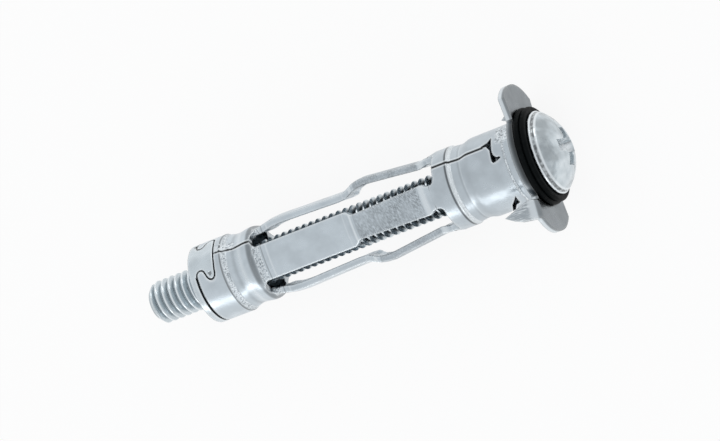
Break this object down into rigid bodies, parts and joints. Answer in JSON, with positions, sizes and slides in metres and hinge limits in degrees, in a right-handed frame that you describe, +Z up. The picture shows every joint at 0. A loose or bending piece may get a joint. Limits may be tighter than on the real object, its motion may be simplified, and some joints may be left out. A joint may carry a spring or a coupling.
{
  "type": "hollow wall anchor",
  "caption": "Metal anchor for hollow walls: slotted sheet sleeve with folding legs, locked nut, spiked ears, sealing ring and pan head machine screw.",
  "frame": {"origin": "on the anchor's axis, in the plane of the wall that the two ears rest on", "axes": "+X along the axis, out of the wall towards the screw's head; +Z up, with the ears level along Y as the anchor lies on its side"},
  "size_m": [0.0421, 0.0134, 0.0092],
  "materials": {
    "zinc_sleeve": "satin bright zinc",
    "zinc_nut": "satin bright zinc",
    "zinc_screw": "polished bright zinc",
    "black_rubber": "smooth"
  },
  "bodies": {
    "sleeve_body": {"anchor_sleeve": "zinc_sleeve", "lock_nut": "zinc_nut"},
    "ring_body": {"sealing_ring": "black_rubber"},
    "screw_body": {"machine_screw": "zinc_screw"}
  },
  "joints": [
    {"name": "screw_advance", "type": "slide", "parent": "sleeve_body", "child": "ring_body", "axis": [1, 0, 0], "range_m": [0, 0.0084]},
    {"name": "screw_turn", "type": "hinge", "parent": "ring_body", "child": "screw_body", "pos_m": [0, 0, 0], "axis": [1, 0, 0], "range_deg": [0, 4321]}
  ],
  "couplings": [
    {"joint": "screw_turn", "follows": "screw_advance", "rad_per_m": 8976}
  ]
}
